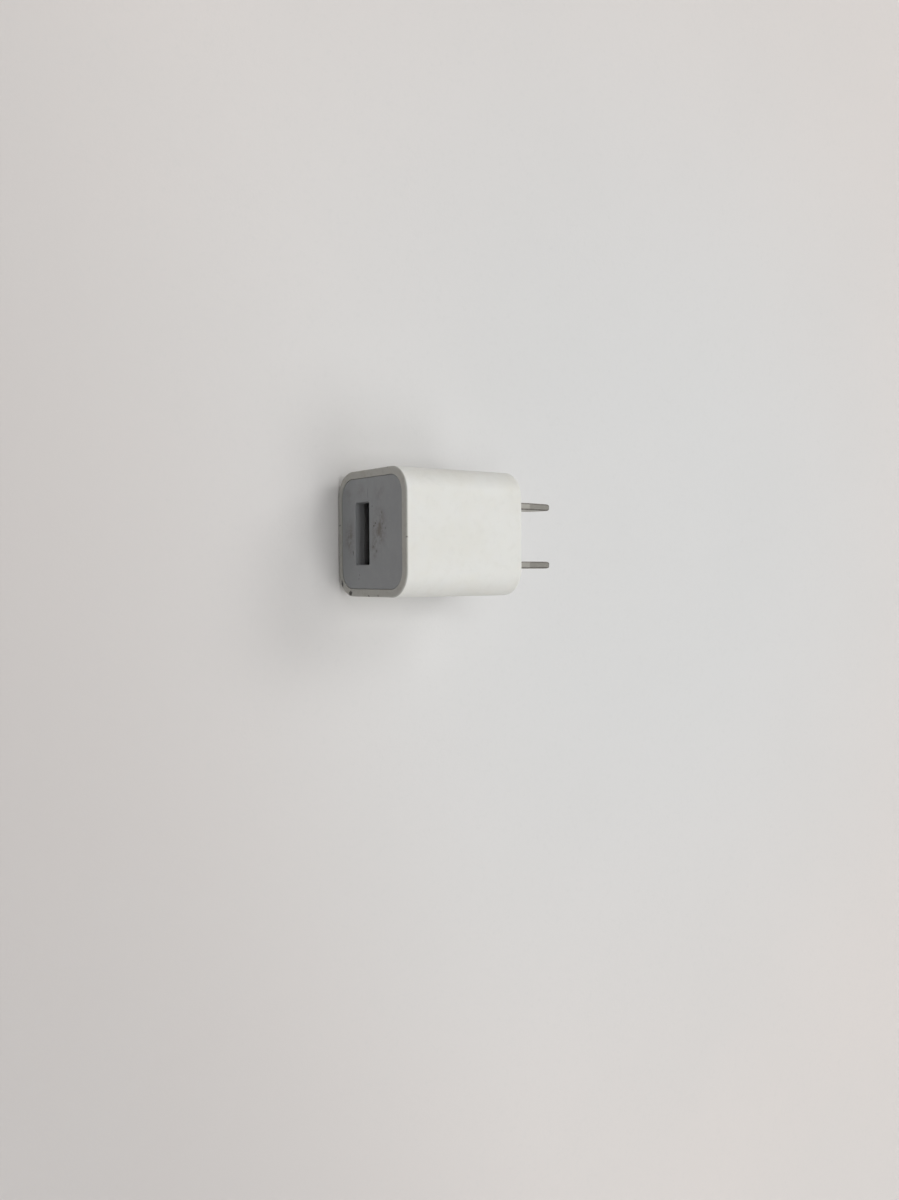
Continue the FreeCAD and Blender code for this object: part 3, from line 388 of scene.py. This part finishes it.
def speckled(name, color, roughness, speckle, size, relief, metallic, stretch, coat):
    """A worked surface with two tones, uneven gloss and a fine relief."""
    g = Graph(name, color, roughness, metallic)
    grain = g.noise(size, 4.0, stretch, len(name))
    broad = g.noise(size * 9, 3.0, shift=2.0 * len(name))
    g.paint(g.ramp(grain, 0.42, 0.68, 0, 0.7), speckle)
    darker = tuple(0.8 * value for value in color)
    g.paint(g.ramp(broad, 0.45, 0.75, 0, 0.5), darker)
    spread = 0.3 * roughness
    g.roughen(g.plus(g.times(grain, 0.5), g.times(broad, 0.5)), roughness - spread, roughness + spread)
    g.shader.inputs["Coat Weight"].default_value = coat
    g.bump(grain, relief)
    return g.material


def board_laminate():
    """Green solder mask over glass weave, with tracks just under it."""
    g = Graph("board_laminate", (0.03, 0.16, 0.075), 0.35)
    weave = g.times(g.noise(0.25, 1.0, (6, 1, 1), 1.0), g.noise(0.25, 1.0, (1, 6, 1), 3.0))
    g.paint(g.ramp(weave, 0.2, 0.4, 0, 0.5), (0.05, 0.21, 0.10))
    tracks = g.ramp(g.cells(1.6, 4.0, (1, 3, 1)), 0.30, 0.34)
    g.paint(g.times(tracks, 0.6), (0.08, 0.27, 0.12))
    g.roughen(weave, 0.28, 0.5)
    g.bump(tracks, 0.03)
    g.bump(weave, 0.01)
    return g.material


def yellow_tape():
    """Polyester tape with a fine ripple round the winding."""
    g = Graph("yellow_tape", (0.75, 0.55, 0.06), 0.25)
    ripple = g.noise(0.5, 3.0, (9, 9, 1), 2.0)
    g.paint(g.ramp(ripple, 0.4, 0.7, 0, 0.6), (0.62, 0.43, 0.04))
    g.roughen(ripple, 0.16, 0.38)
    g.shader.inputs["Coat Weight"].default_value = 0.4
    g.bump(ripple, 0.03)
    return g.material


def copper():
    """Enamelled copper wire, turn by turn along the winding."""
    g = Graph("copper", (0.62, 0.24, 0.10), 0.28, 1.0)
    wave = g.nodes.new("ShaderNodeTexWave")
    wave.bands_direction = "Z"
    g.put(wave.inputs["Vector"], g.place)
    g.put(wave.inputs["Scale"], 2.2)
    g.put(wave.inputs["Distortion"], 0.4)
    turns = wave.outputs["Fac"]
    # painted shade in the grooves between turns
    g.paint(g.ramp(turns, 0.0, 0.5, 0.8, 0.0), (0.25, 0.08, 0.03))
    g.paint(g.ramp(g.noise(1.2, 3.0), 0.45, 0.75, 0, 0.4), (0.50, 0.20, 0.09))
    g.roughen(turns, 0.22, 0.45)
    g.bump(turns, 0.08)
    return g.material


# Speckled finishes by slot: colour, roughness, speckle colour, grain size and relief in millimetres
SPECKLED = {
    "tongue_plastic": ((0.36, 0.37, 0.38), 0.45, (0.32, 0.33, 0.34), 0.12, 0.006),
    "contact_gold": ((0.75, 0.53, 0.22), 0.25, (0.62, 0.42, 0.16), 0.08, 0.004),
    "carrier_plastic": ((0.05, 0.05, 0.055), 0.5, (0.08, 0.08, 0.085), 0.14, 0.012),
    "tinned_lead": ((0.62, 0.62, 0.62), 0.3, (0.5, 0.5, 0.5), 0.10, 0.006),
    "ferrite": ((0.035, 0.035, 0.04), 0.6, (0.07, 0.07, 0.075), 0.10, 0.02),
    "bobbin_resin": ((0.04, 0.035, 0.03), 0.4, (0.07, 0.06, 0.05), 0.20, 0.012),
    "can_aluminium": ((0.72, 0.72, 0.73), 0.32, (0.6, 0.6, 0.61), 0.12, 0.006),
    "can_sleeve": ((0.02, 0.02, 0.05), 0.3, (0.03, 0.03, 0.07), 0.30, 0.01),
    "bung_rubber": ((0.02, 0.02, 0.02), 0.75, (0.035, 0.035, 0.035), 0.16, 0.02),
    "chip_epoxy": ((0.022, 0.022, 0.023), 0.55, (0.04, 0.04, 0.04), 0.07, 0.012),
    "resistor_coat": ((0.16, 0.36, 0.32), 0.6, (0.20, 0.42, 0.37), 0.18, 0.02),
    "ceramic_blue": ((0.02, 0.09, 0.35), 0.3, (0.03, 0.12, 0.42), 0.24, 0.02),
    "surface_ceramic": ((0.42, 0.31, 0.20), 0.5, (0.50, 0.38, 0.26), 0.08, 0.01),
    "sheet_fibre": ((0.62, 0.55, 0.38), 0.7, (0.70, 0.62, 0.45), 0.22, 0.02),
}
METALS = ("contact_gold", "tinned_lead", "can_aluminium")
# How far the grain is drawn out along X, Y and Z, and a clear coat on top
GRAIN_STRETCH = {
    "contact_gold": (1, 14, 1), "tinned_lead": (1, 1, 10), "can_aluminium": (8, 8, 1),
    "can_sleeve": (1, 1, 4), "sheet_fibre": (5, 1, 1),
}
CLEAR_COAT = {"can_sleeve": 0.3, "ceramic_blue": 0.4}


def slot_materials():
    """Every material slot of the record, with its finish."""
    finishes = {
        "white_shell": white_shell(),
        "gray_plate": gray_plate(),
        "blade_plating": blade_plating(),
        "port_steel": port_steel(),
        "board_laminate": board_laminate(),
        "yellow_tape": yellow_tape(),
        "copper": copper(),
    }
    for slot, look in SPECKLED.items():
        metallic = 1.0 if slot in METALS else 0.0
        stretch = GRAIN_STRETCH.get(slot, (1, 1, 1))
        finishes[slot] = speckled(slot, *look, metallic, stretch, CLEAR_COAT.get(slot, 0.0))
    return finishes


def dress():
    """Give every node the material of its slot."""
    finishes = slot_materials()
    slots = {part["node"]: part["material_slot"] for part in frame["record"]["subparts"]}
    for node, piece in frame["nodes"].items():
        piece.data.materials.clear()
        piece.data.materials.append(finishes[slots[node]])


# ---------------------------------------------------------------- stage


def cove_profile():
    """Radius and rise of the floor's rings, from its flat part up its sweep to its top."""
    profile = [(FLOOR_FLAT, 0.0)]
    for step in range(1, COVE_STEPS + 1):
        turn = math.pi / 2 * step / COVE_STEPS
        profile.append((FLOOR_FLAT + COVE_RADIUS * math.sin(turn), COVE_RADIUS * (1 - math.cos(turn))))
    return profile + [(FLOOR_FLAT + COVE_RADIUS, COVE_HEIGHT)]


def floor_mesh():
    """Disc with a swept border, as one mesh."""
    profile = cove_profile()
    corners = [(0.0, 0.0, FLOOR_Z)]
    for radius, rise in profile:
        for step in range(COVE_SIDES):
            turn = 2 * math.pi * step / COVE_SIDES
            corners.append((radius * math.cos(turn), radius * math.sin(turn), FLOOR_Z + rise))
    faces = [(0, 1 + step, 1 + (step + 1) % COVE_SIDES) for step in range(COVE_SIDES)]
    for ring in range(len(profile) - 1):
        inner = 1 + ring * COVE_SIDES
        outer = inner + COVE_SIDES
        for step in range(COVE_SIDES):
            following = (step + 1) % COVE_SIDES
            faces.append((inner + step, outer + step, outer + following, inner + following))
    mesh = bpy.data.meshes.new("floor")
    mesh.from_pydata(corners, [], faces)
    mesh.polygons.foreach_set("use_smooth", [True] * len(faces))
    return mesh


def floor_paper():
    """Pale paper, a little warmer away from the charger, with painted shade in front of it, and darker
    at its border.
    """
    warm, shaded, border = (0.775, 0.735, 0.71), (0.635, 0.605, 0.59), (0.50, 0.49, 0.48)
    cloud, fibre = (0.68, 0.68, 0.67), (0.65, 0.65, 0.64)
    g = Graph("floor_paper", (0.75, 0.75, 0.745), 0.9)
    away = g.vector("LENGTH", g.vector("SUBTRACT", g.place, (0, 60, FLOOR_Z / MM)))
    g.paint(g.ramp(away, *WARM_REACH), warm)
    # painted shade in front of the charger
    ahead = g.vector("DOT_PRODUCT", g.place, (0.35, -1, 0))
    g.paint(g.ramp(ahead, *SHADED_REACH), shaded)
    outward = g.vector("LENGTH", g.vector("MULTIPLY", g.place, (1, 1, 0)))
    g.paint(g.ramp(outward, *BORDER_REACH), border)
    g.paint(g.ramp(g.noise(60.0, 2.0), 0.35, 0.75, 0, 0.15), cloud)
    g.paint(g.ramp(g.noise(1.2, 4.0), 0.5, 0.8, 0, 0.15), fibre)
    g.bump(g.noise(0.5, 3.0), 0.02)
    return g.material


def floor():
    """Pale matt sheet, flat under the charger and swept up all round at a distance."""
    mesh = floor_mesh()
    sheet = bpy.data.objects.new("floor", mesh)
    bpy.context.scene.collection.objects.link(sheet)
    mesh.materials.append(floor_paper())


def soft_light(name, azimuth, tilt, size, power):
    """Square softbox aimed at the origin, placed by its azimuth from +X and its tilt from overhead."""
    data = bpy.data.lights.new(name, "AREA")
    data.shape = "SQUARE"
    data.size = size
    data.energy = power
    lamp = bpy.data.objects.new(name, data)
    across = SOFTBOX_DISTANCE * math.sin(math.radians(tilt))
    turn = math.radians(azimuth)
    height = SOFTBOX_DISTANCE * math.cos(math.radians(tilt))
    lamp.location = (across * math.cos(turn), across * math.sin(turn), height)
    lamp.rotation_euler = (-lamp.location).to_track_quat("-Z", "Y").to_euler()
    bpy.context.scene.collection.objects.link(lamp)


def lights():
    """Softboxes overhead and beyond the blades, a weak one in front, and a dim room."""
    for softbox in SOFTBOXES:
        soft_light(*softbox)
    world = bpy.data.worlds.new("room")
    world.use_nodes = True
    room = world.node_tree.nodes["Background"]
    room.inputs["Color"].default_value = (1, 1, 1, 1)
    room.inputs["Strength"].default_value = ROOM_STRENGTH
    bpy.context.scene.world = world


def camera():
    """Camera above and in front of the USB face."""
    data = bpy.data.cameras.new("camera")
    data.sensor_width = CAMERA_SENSOR
    data.lens = CAMERA_LENS
    data.clip_start = CAMERA_CLIP
    viewer = bpy.data.objects.new("camera", data)
    viewer.location = [value * MM for value in CAMERA_PLACE]
    viewer.rotation_euler = [math.radians(value) for value in CAMERA_TURN]
    bpy.context.scene.collection.objects.link(viewer)
    bpy.context.scene.camera = viewer


bpy.context.scene.view_settings.view_transform = "Standard"
dress()
floor()
lights()
camera()
